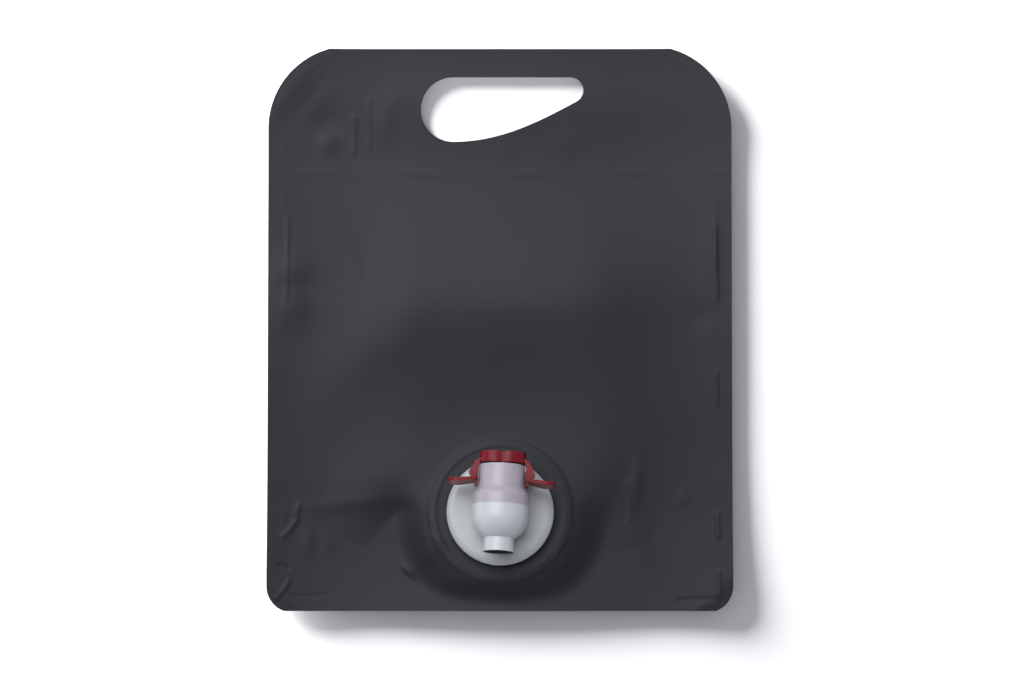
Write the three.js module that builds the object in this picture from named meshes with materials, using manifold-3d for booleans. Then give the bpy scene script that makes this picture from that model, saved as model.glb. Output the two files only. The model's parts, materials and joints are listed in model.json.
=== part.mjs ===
// An empty stand-up pouch for drinks, lying flat on its back, with a press tap near its bottom edge.
// Millimetres. X runs across the pouch, Y from its bottom edge to its handle, Z out of its front panel.
// The origin lies on the floor, under the middle of the pouch.
// The tap, the gland and the handle share a frame of their own: its origin is the middle of the
// shield's front face, its Z is the shield's normal and its Y runs up the barrel to the handle.

import * as THREE from "three";
import { mergeVertices } from "three/addons/utils/BufferGeometryUtils.js";
import Module from "manifold-3d";

const wasm = await Module();
wasm.setup();

const degrees = Math.PI / 180;

// Pouch outline.
const POUCH_WIDTH = 194;
const POUCH_HEIGHT = 235;
const TOP_CORNER_RADIUS = 34.9;
const TOP_CORNER_CUT = 1.3;
const BOTTOM_CORNER_RADIUS = 11;
const BOTTOM_CORNER_CUT = 0.7;

// Handle hole: a round left end, a small round right end, a straight top and a bowed lower edge.
const HOLE_LENGTH = 68.2;
const HOLE_LEFT_RADIUS = 13.45;
const HOLE_RIGHT_RADIUS = 5.4;
const HOLE_TO_TOP_EDGE = 11.75;
const HOLE_OFFSET_X = 0.9;
const HOLE_END_ANGLE = 62;
const HOLE_LEFT_PULL = 20;
const HOLE_RIGHT_PULL = 18;

// Film, seals and gusset. The sealed edges and each wall are drawn as thick as a solid needs.
const SEAL_THICKNESS = 0.8;
const BACK_THICKNESS = 0.7;
const HEADER_LENGTH = 51.9;
const SIDE_SEAL = 7;
const BOTTOM_SEAL = 6;
const SIDE_EASE = 60;
const TOP_EASE = 60;
const BOTTOM_EASE = 30;
const PANEL_RISE = 2.6;
const LEAST_SLACK = 0.5;
const GUSSET_DEPTH = 45;
const GUSSET_GAP = 0.5;
const MOUTH_RISE = 2.6;
const GUSSET_SIDE_SEAL = 9;
const FOLD_EASE = 12;
const ABOVE_TAP_EASE = 0.4;
const FILM_STEP = 6;
const GUSSET_STEP = 9;

// The slack back panel rests on its middle, and the pouch's edges stand off the floor.
const EDGE_LIFT = 4.6;
const LIFT_WIDTH = 48;

// Broad swells of the slack front panel: middle, half lengths across and along, turn and rise.
const SWELLS = [
  { name: "upper belly", x: 10, y: 12, across: 78, along: 30, turn: 0, rise: 2.4 },
  { name: "left shoulder", x: -64, y: -6, across: 34, along: 15, turn: 42, rise: 1.6 },
  { name: "left hip", x: -66, y: -70, across: 36, along: 13, turn: 16, rise: 2.2 },
  { name: "left dip", x: -42, y: -82, across: 12, along: 15, turn: 0, rise: -2.2 },
  { name: "right dip", x: 40, y: -86, across: 11, along: 11, turn: 0, rise: -1.6 },
];

// Where the tap's frame sits on the pouch.
const TAP_X = 0.2;
const TAP_TO_BOTTOM_EDGE = 41.5;
const TAP_TILT = 9;
const TAP_LEAN = 0.5;
const TAP_ROLL = 2.6;

// Gland: flange inside the film, neck through it.
const FLANGE_RADIUS = 27;
const FLANGE_THICKNESS = 1.6;
const NECK_RADIUS = 16;
const NECK_HEIGHT = 4.9;
const COLLAR_RADIUS = 18.6;
const COLLAR_THICKNESS = 1.1;
const COLLAR_TO_NECK_TOP = 1.3;
const GLAND_BORE_RADIUS = 13.3;
const GLAND_UNDERCUT = 0.6;
const GLAND_UNDERCUT_HEIGHT = 1.1;

// Shield and inlet plug of the tap.
const SHIELD_RADIUS = 22.3;
const SHIELD_FLAT_RADIUS = 19.4;
const SHIELD_THICKNESS = 1.8;
const SHIELD_BEVEL_DROP = 1.9;
const SHIELD_EDGE_HEIGHT = 1;
const SHIELD_EDGE_WALL = 1.2;
const PLUG_WALL = 1.4;
const PLUG_BEAD = 0.55;
const PLUG_BEAD_HEIGHT = 0.7;

// Barrel, chamber, bowl and nozzle, turned about the barrel's axis.
const BARREL_RADIUS = 9.6;
const BARREL_TAPER = 0.3;
const BARREL_WALL = 1.3;
const BARREL_TOP = 17.3;
const SHOULDER_TOP = 8.4;
const SHOULDER_BOTTOM = 4.6;
const CHAMBER_RADIUS = 11.8;
const CHAMBER_WALL = 1.4;
const BOWL_TOP = -3.6;
const BOWL_HEIGHT = 10.6;
const NOZZLE_RADIUS = 6.1;
const NOZZLE_FLARE = 0.3;
const NOZZLE_WALL = 0.9;
const NOZZLE_END = -18.4;
const AXIS_OVER_SHIELD = 11;
const SEAT_TOP = 2.8;
const SEAT_HEIGHT = 2;
const WEB_WIDTH = 5;
const PORT_RADIUS = 3.3;

// Hinge lugs of the handle.
const PIVOT_X = 10.4;
const PIVOT_Y = 17.9;
const HANDLE_SWING = 11;
const PIN_RADIUS = 0.5;
const LUG_RADIUS = 1;
const LUG_LENGTH = 4;
const LUG_WIDTH = 3;
const EAR_WALL = 0.5;
const EAR_WIDTH = 1.4;

// Handle half: cap, cheek, arm and wing.
const CAP_HALF_WIDTH = 9.7;
const CAP_HALF_DEPTH = 7.2;
const CAP_HEIGHT = 4.5;
const CAP_EDGE = 0.6;
const CAP_LOBE_DEPTH = 1.1;
const RIM_GAP = 0.9;
const CENTRE_GAP = 0.4;
const TONGUE_LENGTH = 1.5;
const TONGUE_THICKNESS = 1.1;
const TONGUE_FRONT = 4.6;
const TONGUE_ROOT = 3;
const CHEEK_REACH = 13.65;
const CHEEK_WIDEST = 13.9;
const CHEEK_BOTTOM = 10.5;
const CHEEK_TOP = 19.9;
const CHEEK_CORNER = 0.9;
const CHEEK_HOLD = 2.4;
const ARM_THICKNESS = 1.2;
const ARM_BOTTOM = 8.8;
const ARM_HALF_DEPTH = 3.6;
const WING_TIP_X = 22.1;
const WING_ROOT_Y = 11.2;
const WING_DROOP = 5.5;
const WING_THICKNESS = 1.9;
const WING_HALF_DEPTH = 6.6;
const WING_ROOT_HALF_DEPTH = 5.3;
const WING_CORNER = 4.2;

// Plunger and return dome.
const STEM_RADIUS = 6.6;
const STEM_TOP = 14.3;
const STUD_RADIUS = 3;
const GUIDE_RIBS = 4;
const GUIDE_RIB_THICKNESS = 1.2;
const HEAD_EDGE_HEIGHT = 0.7;
const HEAD_LIP = 1.4;
const HEAD_HOLLOW = 0.4;
const HEAD_SIDE_GAP = 0.6;
const DOME_WALL = 0.8;
const DOME_LIP_HEIGHT = 1.6;
const DOME_CROWN_RADIUS = 4.2;

// Clearances.
const SEAT_GAP = 0.3;
const RUNNING_GAP = 0.15;
const GUIDE_GAP = 0.25;

// Facets round a full turn.
const SHIELD_FACETS = 48;
const BARREL_FACETS = 36;
const PIN_FACETS = 16;
const PORT_FACETS = 20;
const CURVE_FACETS = 8;
const OUTLINE_FACETS = 12;
const CAP_FACETS = 14;

// Sizes that follow from those above.
const halfWidth = POUCH_WIDTH / 2;
const topEdge = POUCH_HEIGHT / 2;
const bottomEdge = -topEdge;
const topSeal = topEdge - HEADER_LENGTH;
const gussetFold = bottomEdge + GUSSET_DEPTH;
const tapY = bottomEdge + TAP_TO_BOTTOM_EDGE;
const shieldBack = -SHIELD_THICKNESS;
const neckTop = shieldBack - SEAT_GAP;
const flangeTop = neckTop - NECK_HEIGHT;
const flangeBottom = flangeTop - FLANGE_THICKNESS;
const pocketTop = flangeTop + SEAT_GAP;
const pocketBottom = flangeBottom - SEAT_GAP;
const pocketRadius = FLANGE_RADIUS + SEAT_GAP;
const plateauTop = pocketTop + SEAL_THICKNESS;
const plateauRadius = pocketRadius + SEAL_THICKNESS + FILM_STEP / 2;
const mouthHalfWidth = halfWidth - GUSSET_SIDE_SEAL;
const boreRadius = BARREL_RADIUS - BARREL_WALL;
const chamberBore = CHAMBER_RADIUS - CHAMBER_WALL;
const capBottom = BARREL_TOP + RIM_GAP;
const pinClearRadius = PIN_RADIUS + RUNNING_GAP;
const earRadius = pinClearRadius + EAR_WALL;
const earNear = LUG_WIDTH / 2 + SEAT_GAP;
const earFar = earNear + EAR_WIDTH;
const armInner = BARREL_RADIUS + SEAT_GAP;
const swing = HANDLE_SWING * degrees;

// The tap's frame, high enough that the back panel is whole under the low side of the gland's pocket.
const tapFrame = new THREE.Group();
tapFrame.rotation.set(-TAP_TILT * degrees, TAP_LEAN * degrees, -TAP_ROLL * degrees);
tapFrame.updateMatrix();
const normal = new THREE.Vector3(0, 0, 1).applyEuler(tapFrame.rotation);
const lowSide = pocketRadius * Math.hypot(normal.x, normal.y);
const tapZ = BACK_THICKNESS + SEAT_GAP + lowSide - pocketBottom * normal.z;
tapFrame.position.set(TAP_X, tapY, tapZ);
tapFrame.updateMatrix();

// Height over the floor of the plane that lies `level` in front of the shield's face.
function planeHeight(x, y, level) {
  return tapZ + (level - normal.x * (x - TAP_X) - normal.y * (y - tapY)) / normal.z;
}

function smooth(value, from, to) {
  return THREE.MathUtils.smoothstep(value, from, to);
}

function solid(geometry) {
  const bare = geometry.clone();
  bare.deleteAttribute("normal");
  bare.deleteAttribute("uv");
  const merged = mergeVertices(bare, 1e-4);
  return new wasm.Manifold(
    new wasm.Mesh({
      numProp: 3,
      vertProperties: merged.attributes.position.array,
      triVerts: new Uint32Array(merged.index.array),
    }),
  );
}

function geometryOf(body) {
  const made = body.getMesh();
  const geometry = new THREE.BufferGeometry();
  geometry.setAttribute("position", new THREE.BufferAttribute(made.vertProperties, 3));
  geometry.setIndex(new THREE.BufferAttribute(made.triVerts, 1));
  const flat = geometry.toNonIndexed();
  flat.computeVertexNormals();
  return flat;
}

function points(list) {
  return list.map(([x, y]) => new THREE.Vector2(x, y));
}

// A profile of (radius, height) pairs turned about Y, listed from the bottom outwards and up.
function turned(profile, facets) {
  return new THREE.LatheGeometry(points(profile), facets);
}

function turnedAboutBarrel(profile, facets = BARREL_FACETS) {
  return turned(profile, facets).translate(0, 0, AXIS_OVER_SHIELD);
}

function turnedAboutNormal(profile, facets = SHIELD_FACETS) {
  return turned(profile, facets).rotateX(Math.PI / 2);
}

function extruded(shape, depth, curveSegments = CURVE_FACETS) {
  return new THREE.ExtrudeGeometry(shape, { depth, bevelEnabled: false, curveSegments });
}

// A box from its lowest to its highest corner.
function block(low, high) {
  const size = high.map((value, i) => value - low[i]);
  return new THREE.BoxGeometry(...size).translate(...low.map((value, i) => value + size[i] / 2));
}

// A pin along Z.
function pinAlongZ(x, y, from, to, radius, facets = PIN_FACETS) {
  return new THREE.CylinderGeometry(radius, radius, to - from, facets)
    .rotateX(Math.PI / 2)
    .translate(x, y, (from + to) / 2);
}

// A closed block over a rectangle, from a surface of under(x, y) up to one of height(x, y).
function relief(low, high, step, under, height) {
  const columns = Math.ceil((high[0] - low[0]) / step);
  const rows = Math.ceil((high[1] - low[1]) / step);
  const geometry = new THREE.BoxGeometry(1, 1, 1, columns, rows, 1);
  const position = geometry.attributes.position;
  for (let i = 0; i < position.count; i += 1) {
    const x = THREE.MathUtils.lerp(low[0], high[0], position.getX(i) + 0.5);
    const y = THREE.MathUtils.lerp(low[1], high[1], position.getY(i) + 0.5);
    position.setXYZ(i, x, y, position.getZ(i) > 0 ? height(x, y) : under(x, y));
  }
  return geometry;
}

// Pouch.

function pouchOutline() {
  const shape = new THREE.Shape();
  const topX = halfWidth - TOP_CORNER_RADIUS;
  const topY = topEdge + TOP_CORNER_CUT - TOP_CORNER_RADIUS;
  const topEnd = Math.asin((topEdge - topY) / TOP_CORNER_RADIUS);
  const bottomX = halfWidth - BOTTOM_CORNER_RADIUS;
  const bottomY = bottomEdge - BOTTOM_CORNER_CUT + BOTTOM_CORNER_RADIUS;
  const bottomEnd = Math.asin((bottomY - bottomEdge) / BOTTOM_CORNER_RADIUS);
  shape.absarc(topX, topY, TOP_CORNER_RADIUS, 0, topEnd, false);
  shape.absarc(-topX, topY, TOP_CORNER_RADIUS, Math.PI - topEnd, Math.PI, false);
  shape.absarc(-bottomX, bottomY, BOTTOM_CORNER_RADIUS, Math.PI, Math.PI + bottomEnd, false);
  shape.absarc(bottomX, bottomY, BOTTOM_CORNER_RADIUS, -bottomEnd, 0, false);
  shape.closePath();
  return shape;
}

function handleHole() {
  const shape = new THREE.Shape();
  const top = topEdge - HOLE_TO_TOP_EDGE;
  const leftX = HOLE_OFFSET_X - HOLE_LENGTH / 2 + HOLE_LEFT_RADIUS;
  const leftY = top - HOLE_LEFT_RADIUS;
  const rightX = HOLE_OFFSET_X + HOLE_LENGTH / 2 - HOLE_RIGHT_RADIUS;
  const rightY = top - HOLE_RIGHT_RADIUS;
  const end = -HOLE_END_ANGLE * degrees;
  const endX = rightX + HOLE_RIGHT_RADIUS * Math.cos(end);
  const endY = rightY + HOLE_RIGHT_RADIUS * Math.sin(end);
  shape.absarc(leftX, leftY, HOLE_LEFT_RADIUS, Math.PI / 2, 1.5 * Math.PI, false);
  shape.bezierCurveTo(
    leftX + HOLE_LEFT_PULL,
    leftY - HOLE_LEFT_RADIUS,
    endX + HOLE_RIGHT_PULL * Math.sin(end),
    endY - HOLE_RIGHT_PULL * Math.cos(end),
    endX,
    endY,
  );
  shape.absarc(rightX, rightY, HOLE_RIGHT_RADIUS, end, Math.PI / 2, false);
  shape.closePath();
  return shape;
}

function swellHeight(swell, x, y) {
  const turn = swell.turn * degrees;
  const dx = x - swell.x;
  const dy = y - swell.y;
  const u = (dx * Math.cos(turn) + dy * Math.sin(turn)) / swell.across;
  const v = (dy * Math.cos(turn) - dx * Math.sin(turn)) / swell.along;
  return swell.rise * Math.exp(-(u * u + v * v));
}

// The back panel's height over the floor: none in the middle, and all of EDGE_LIFT at the outline.
function backHeight(x, y) {
  const dx = Math.max(0, Math.abs(x) - halfWidth + LIFT_WIDTH);
  const dy = Math.max(0, Math.abs(y) - topEdge + LIFT_WIDTH);
  return EDGE_LIFT * Math.min(1.2, Math.hypot(dx, dy) / LIFT_WIDTH) ** 2;
}

// How far the front leg of the gusset stands off the back leg.
function mouthHeight(x, y) {
  const across = Math.cos((Math.PI / 2) * Math.min(1, Math.abs(x) / mouthHalfWidth)) ** 2;
  const along = Math.max(0, (gussetFold - y) / GUSSET_DEPTH);
  return GUSSET_GAP + MOUTH_RISE * across * along ** 1.5;
}

// The front panel's height over the floor.
function filmHeight(x, y) {
  const fromSide = smooth(halfWidth - Math.abs(x), SIDE_SEAL, SIDE_SEAL + SIDE_EASE);
  const fromTop = smooth(topSeal - y, 0, TOP_EASE);
  const fromBottom = smooth(y - bottomEdge, BOTTOM_SEAL, BOTTOM_SEAL + BOTTOM_EASE);
  const inside = fromSide * fromTop * fromBottom;
  const swells = SWELLS.reduce((sum, swell) => sum + swellHeight(swell, x, y), 0);
  const inMouth = smooth(gussetFold + FOLD_EASE - y, 0, FOLD_EASE);
  const slack = SEAL_THICKNESS + inside * (PANEL_RISE + Math.max(swells, LEAST_SLACK - PANEL_RISE));
  const lifted = BACK_THICKNESS + mouthHeight(x, y) + SEAL_THICKNESS;
  const open = backHeight(x, y) + THREE.MathUtils.lerp(slack, Math.max(slack, lifted), inMouth);
  const fromTap = Math.hypot(x - TAP_X, y - tapY);
  const reach = plateauRadius + FLANGE_RADIUS / 2 + ABOVE_TAP_EASE * Math.max(0, y - tapY);
  const onGland = 1 - smooth(fromTap, plateauRadius, reach);
  return THREE.MathUtils.lerp(open, planeHeight(x, y, plateauTop), onGland);
}

function makePouch() {
  const margin = FILM_STEP;
  const low = [-halfWidth - margin, bottomEdge - margin];
  const high = [halfWidth + margin, topEdge + margin];
  const tallest = 2 * tapZ;
  const blank = solid(extruded(pouchOutline(), tallest, OUTLINE_FACETS));
  const film = solid(relief(low, high, FILM_STEP, backHeight, filmHeight));
  const hole = solid(extruded(handleHole(), tallest, OUTLINE_FACETS));
  const slot = solid(
    relief(
      [-mouthHalfWidth, bottomEdge - margin],
      [mouthHalfWidth, gussetFold],
      GUSSET_STEP,
      (x, y) => backHeight(x, y) + BACK_THICKNESS,
      (x, y) => backHeight(x, y) + BACK_THICKNESS + mouthHeight(x, y),
    ),
  );
  const pocket = turnedAboutNormal([
    [0, pocketBottom],
    [pocketRadius, pocketBottom],
    [pocketRadius, pocketTop],
    [NECK_RADIUS + SEAT_GAP, pocketTop],
    [NECK_RADIUS + SEAT_GAP, 0],
    [0, 0],
  ]).applyMatrix4(tapFrame.matrix);
  return blank.intersect(film).subtract(hole).subtract(slot).subtract(solid(pocket));
}

// Gland.

function makeGland() {
  const collarTop = neckTop - COLLAR_TO_NECK_TOP;
  const collarBottom = collarTop - COLLAR_THICKNESS;
  const undercut = GLAND_BORE_RADIUS + GLAND_UNDERCUT;
  const undercutTop = flangeBottom + GLAND_UNDERCUT_HEIGHT;
  const profile = [
    [undercut, flangeBottom],
    [FLANGE_RADIUS, flangeBottom],
    [FLANGE_RADIUS, flangeTop],
    [NECK_RADIUS, flangeTop],
    [NECK_RADIUS, collarBottom],
    [COLLAR_RADIUS, collarBottom],
    [COLLAR_RADIUS, collarTop],
    [NECK_RADIUS, collarTop],
    [NECK_RADIUS, neckTop],
    [GLAND_BORE_RADIUS, neckTop],
    [GLAND_BORE_RADIUS, undercutTop],
    [undercut, undercutTop],
    [undercut, flangeBottom],
  ];
  return solid(turnedAboutNormal(profile));
}

// Tap body.

function ellipseStretch(radius, height, middle, fromAngle, toAngle, steps = CURVE_FACETS) {
  return Array.from({ length: steps + 1 }, (_, i) => {
    const angle = THREE.MathUtils.lerp(fromAngle, toAngle, i / steps);
    return [radius * Math.cos(angle), middle + height * Math.sin(angle)];
  });
}

function barrelOutside() {
  const neck = -Math.acos(NOZZLE_RADIUS / CHAMBER_RADIUS);
  const shoulder = Array.from({ length: CURVE_FACETS + 1 }, (_, i) => {
    const share = i / CURVE_FACETS;
    const radius = THREE.MathUtils.lerp(CHAMBER_RADIUS, BARREL_RADIUS, smooth(share, 0, 1));
    return [radius, THREE.MathUtils.lerp(SHOULDER_BOTTOM, SHOULDER_TOP, share)];
  });
  return turnedAboutBarrel([
    [0, NOZZLE_END],
    [NOZZLE_RADIUS + NOZZLE_FLARE, NOZZLE_END],
    ...ellipseStretch(CHAMBER_RADIUS, BOWL_HEIGHT, BOWL_TOP, neck, 0),
    ...shoulder,
    [BARREL_RADIUS - BARREL_TAPER, BARREL_TOP],
    [0, BARREL_TOP],
  ]);
}

function barrelInside() {
  const nozzleBore = NOZZLE_RADIUS - NOZZLE_WALL;
  const bowlDepth = BOWL_HEIGHT - CHAMBER_WALL;
  const neck = -Math.acos(nozzleBore / chamberBore);
  return turnedAboutBarrel([
    [0, NOZZLE_END - 1],
    [nozzleBore + NOZZLE_FLARE, NOZZLE_END - 1],
    [nozzleBore + NOZZLE_FLARE, NOZZLE_END],
    ...ellipseStretch(chamberBore, bowlDepth, BOWL_TOP, neck, 0),
    [chamberBore, SEAT_TOP - SEAT_HEIGHT],
    [boreRadius, SEAT_TOP],
    [boreRadius, BARREL_TOP + 1],
    [0, BARREL_TOP + 1],
  ]);
}

function shield() {
  const bevelWidth = SHIELD_RADIUS - SHIELD_FLAT_RADIUS;
  const bevel = Array.from({ length: 5 }, (_, i) => {
    const angle = (i / 4) * (Math.PI / 2);
    return [
      SHIELD_FLAT_RADIUS + bevelWidth * Math.cos(angle),
      -SHIELD_BEVEL_DROP * (1 - Math.sin(angle)),
    ];
  });
  const edge = -SHIELD_BEVEL_DROP - SHIELD_EDGE_HEIGHT;
  return turnedAboutNormal([
    [0, shieldBack],
    [SHIELD_RADIUS - 2 * SHIELD_EDGE_WALL, shieldBack],
    [SHIELD_RADIUS - SHIELD_EDGE_WALL, edge],
    [SHIELD_RADIUS, edge],
    ...bevel,
    [0, 0],
  ]);
}

// The plug snaps into the gland: its bead catches in the undercut under the gland's bore.
function plug() {
  const outer = GLAND_BORE_RADIUS - SEAT_GAP;
  const inner = outer - PLUG_WALL;
  const end = flangeBottom + SEAT_GAP / 2;
  return turnedAboutNormal([
    [inner, end],
    [outer + PLUG_BEAD, end],
    [outer + PLUG_BEAD, end + PLUG_BEAD_HEIGHT],
    [outer, end + PLUG_BEAD_HEIGHT],
    [outer, shieldBack + SHIELD_THICKNESS / 2],
    [inner, shieldBack + SHIELD_THICKNESS / 2],
    [inner, end],
  ]);
}

function hingeLug(side) {
  const near = AXIS_OVER_SHIELD - LUG_WIDTH / 2;
  const far = AXIS_OVER_SHIELD + LUG_WIDTH / 2;
  const inside = boreRadius + BARREL_WALL / 2;
  const eye = pinAlongZ(PIVOT_X, PIVOT_Y, near, far, LUG_RADIUS);
  const foot = new THREE.Shape(
    points([
      [inside, PIVOT_Y - LUG_LENGTH],
      [PIVOT_X + LUG_RADIUS, PIVOT_Y],
      [PIVOT_X - LUG_RADIUS / 2, PIVOT_Y],
      [inside, BARREL_TOP - LUG_RADIUS / 2],
    ]),
  );
  const pin = pinAlongZ(
    PIVOT_X,
    PIVOT_Y,
    AXIS_OVER_SHIELD - earFar,
    AXIS_OVER_SHIELD + earFar,
    PIN_RADIUS,
  );
  const brace = extruded(foot, LUG_WIDTH).translate(0, 0, near);
  const pieces = [eye, brace, pin].map((geometry) => solid(mirrored(geometry, side)));
  return wasm.Manifold.union(pieces);
}

function makeTapBody() {
  const web = block(
    [-WEB_WIDTH / 2, SHOULDER_BOTTOM, -SHIELD_THICKNESS / 2],
    [WEB_WIDTH / 2, BARREL_TOP - SHIELD_THICKNESS, AXIS_OVER_SHIELD - boreRadius],
  );
  const portY = SEAT_TOP + PORT_RADIUS;
  const port = pinAlongZ(0, portY, shieldBack - 1, AXIS_OVER_SHIELD, PORT_RADIUS, PORT_FACETS);
  let body = solid(shield()).add(solid(barrelOutside())).add(solid(web)).add(solid(plug()));
  body = body.add(hingeLug(1)).add(hingeLug(-1));
  return body.subtract(solid(barrelInside())).subtract(solid(port));
}

// Plunger and return dome.

function makePlunger() {
  const headRadius = chamberBore - HEAD_SIDE_GAP;
  const slope = SEAT_HEIGHT / (chamberBore - boreRadius);
  const coneTop = SEAT_TOP - SEAT_GAP;
  const edgeTop = coneTop - slope * (headRadius - boreRadius);
  const domeUnder = capBottom - SEAT_GAP - DOME_WALL;
  let plunger = solid(
    turnedAboutBarrel([
      [0, edgeTop - HEAD_EDGE_HEIGHT + HEAD_HOLLOW],
      [headRadius - HEAD_LIP, edgeTop - HEAD_EDGE_HEIGHT],
      [headRadius, edgeTop - HEAD_EDGE_HEIGHT],
      [headRadius, edgeTop],
      [STEM_RADIUS, coneTop + slope * (boreRadius - STEM_RADIUS)],
      [STEM_RADIUS, STEM_TOP],
      [STUD_RADIUS, STEM_TOP],
      [STUD_RADIUS, domeUnder - RUNNING_GAP],
      [0, domeUnder - RUNNING_GAP],
    ]),
  );
  const reach = boreRadius - GUIDE_GAP;
  for (let i = 0; i < GUIDE_RIBS; i += 1) {
    const rib = block(
      [STEM_RADIUS - 1, coneTop + 2, -GUIDE_RIB_THICKNESS / 2],
      [reach, STEM_TOP - DOME_LIP_HEIGHT, GUIDE_RIB_THICKNESS / 2],
    )
      .rotateY(((i + 0.5) * 2 * Math.PI) / GUIDE_RIBS)
      .translate(0, 0, AXIS_OVER_SHIELD);
    plunger = plunger.add(solid(rib));
  }
  return plunger;
}

function makeReturnDome() {
  const crownTop = capBottom - SEAT_GAP;
  const lipRadius = boreRadius - GUIDE_GAP;
  const lipTop = STEM_TOP + DOME_LIP_HEIGHT - SEAT_GAP;
  const lipBottom = STEM_TOP - SEAT_GAP;
  const inner = lipRadius - DOME_WALL;
  const profile = [
    [inner, lipBottom],
    [lipRadius, lipBottom],
    [lipRadius, lipTop],
    [DOME_CROWN_RADIUS, crownTop],
    [0, crownTop],
    [0, crownTop - DOME_WALL],
    [DOME_CROWN_RADIUS - DOME_WALL / 2, crownTop - DOME_WALL],
    [inner, lipTop - DOME_WALL / 2],
    [inner, lipBottom],
  ];
  return solid(turnedAboutBarrel(profile));
}

// Handle halves. The right half is drawn, and the left half is its mirror image.

function mirrored(geometry, side) {
  if (side > 0) return geometry;
  const flipped = geometry.clone().scale(-1, 1, 1);
  const index = flipped.index;
  if (index) {
    for (let i = 0; i < index.count; i += 3) {
      const a = index.getX(i);
      index.setX(i, index.getX(i + 1));
      index.setX(i + 1, a);
    }
    return flipped;
  }
  const position = flipped.attributes.position;
  for (let i = 0; i < position.count; i += 3) {
    const a = new THREE.Vector3().fromBufferAttribute(position, i);
    const b = new THREE.Vector3().fromBufferAttribute(position, i + 1);
    position.setXYZ(i, b.x, b.y, b.z);
    position.setXYZ(i + 1, a.x, a.y, a.z);
  }
  return flipped;
}

// Half of an oval cap, seen down the barrel, with a lobe on its front and back faces.
function capHalf() {
  const oval = (share) => {
    const angle = THREE.MathUtils.lerp(-Math.PI / 2, Math.PI / 2, share);
    const x = CAP_HALF_WIDTH * Math.cos(angle);
    const dent = CAP_LOBE_DEPTH * Math.exp(-((x / (2 * CAP_LOBE_DEPTH)) ** 2));
    return [x, (CAP_HALF_DEPTH - dent) * Math.sin(angle)];
  };
  const rim = Array.from({ length: CAP_FACETS + 1 }, (_, i) => oval(i / CAP_FACETS));
  const shape = new THREE.Shape(points(rim));
  const bevel = {
    depth: CAP_HEIGHT - 2 * CAP_EDGE,
    bevelThickness: CAP_EDGE,
    bevelSize: CAP_EDGE,
    bevelOffset: -CAP_EDGE,
    bevelSegments: 2,
  };
  return new THREE.ExtrudeGeometry(shape, bevel)
    .rotateX(-Math.PI / 2)
    .translate(0, capBottom + CAP_EDGE, AXIS_OVER_SHIELD);
}

// The part of the cap that the half gives up at the middle: a wedge that closes as the halves swing.
function centreWedge() {
  const open = CENTRE_GAP / 2;
  const top = capBottom + CAP_HEIGHT + 1;
  const lean = Math.tan(swing) * (top - capBottom);
  const shape = new THREE.Shape(
    points([
      [-1, capBottom - 1],
      [open, capBottom - 1],
      [open, capBottom],
      [open + lean, top],
      [-1, top],
    ]),
  );
  const depth = 3 * CAP_HALF_DEPTH;
  return extruded(shape, depth).translate(0, 0, AXIS_OVER_SHIELD - depth / 2);
}

function cheekPlate(near) {
  const shape = new THREE.Shape(
    points([
      [armInner + SEAT_GAP, CHEEK_BOTTOM],
      [armInner + ARM_THICKNESS, CHEEK_BOTTOM],
      [CHEEK_REACH, CHEEK_WIDEST],
      [CHEEK_REACH - CHEEK_CORNER / 2, CHEEK_WIDEST + CHEEK_CORNER],
      [PIVOT_X + earRadius, PIVOT_Y],
      [CAP_HALF_WIDTH, CHEEK_TOP],
      [CAP_HALF_WIDTH - CHEEK_HOLD, CHEEK_TOP],
      [CAP_HALF_WIDTH - CHEEK_HOLD, capBottom + CAP_EDGE],
      [PIVOT_X - earRadius, capBottom + CAP_EDGE],
      [PIVOT_X - earRadius, PIVOT_Y],
      [armInner + SEAT_GAP, PIVOT_Y - earRadius],
    ]),
  );
  return extruded(shape, EAR_WIDTH).translate(0, 0, near);
}

// A paddle seen edge-on from the front: its plan is rounded at the outer corners.
function wing() {
  const root = armInner + ARM_THICKNESS / 4;
  const length = (WING_TIP_X - root) / Math.cos(WING_DROOP * degrees);
  const shape = new THREE.Shape();
  shape.moveTo(0, -WING_ROOT_HALF_DEPTH);
  shape.lineTo(length - WING_CORNER, -WING_HALF_DEPTH);
  shape.absarc(length - WING_CORNER, WING_CORNER - WING_HALF_DEPTH, WING_CORNER, -Math.PI / 2, 0, false);
  shape.absarc(length - WING_CORNER, WING_HALF_DEPTH - WING_CORNER, WING_CORNER, 0, Math.PI / 2, false);
  shape.lineTo(0, WING_ROOT_HALF_DEPTH);
  shape.closePath();
  const edge = WING_THICKNESS / 4;
  return new THREE.ExtrudeGeometry(shape, {
    depth: WING_THICKNESS - 2 * edge,
    bevelThickness: edge,
    bevelSize: edge,
    bevelOffset: -edge,
    bevelSegments: 1,
    curveSegments: 4,
  })
    .rotateX(-Math.PI / 2)
    .translate(0, -WING_THICKNESS / 2 + edge, 0)
    .rotateZ(-WING_DROOP * degrees)
    .translate(root, WING_ROOT_Y, AXIS_OVER_SHIELD);
}

// A tongue on the left half fills the view through the middle gap and runs in a slot of the right half.
function tongue() {
  const front = AXIS_OVER_SHIELD + TONGUE_FRONT;
  return block(
    [-TONGUE_LENGTH, capBottom + CAP_EDGE, front - TONGUE_THICKNESS],
    [TONGUE_ROOT, capBottom + CAP_HEIGHT - CAP_EDGE, front],
  );
}

function tongueSlot() {
  const front = AXIS_OVER_SHIELD + TONGUE_FRONT;
  const travel = 2 * Math.sin(swing) * (capBottom + CAP_HEIGHT - PIVOT_Y);
  return block(
    [-1, capBottom - 1, front - TONGUE_THICKNESS - SEAT_GAP],
    [TONGUE_LENGTH + travel + SEAT_GAP, capBottom + CAP_HEIGHT + 1, front + SEAT_GAP],
  );
}

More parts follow.
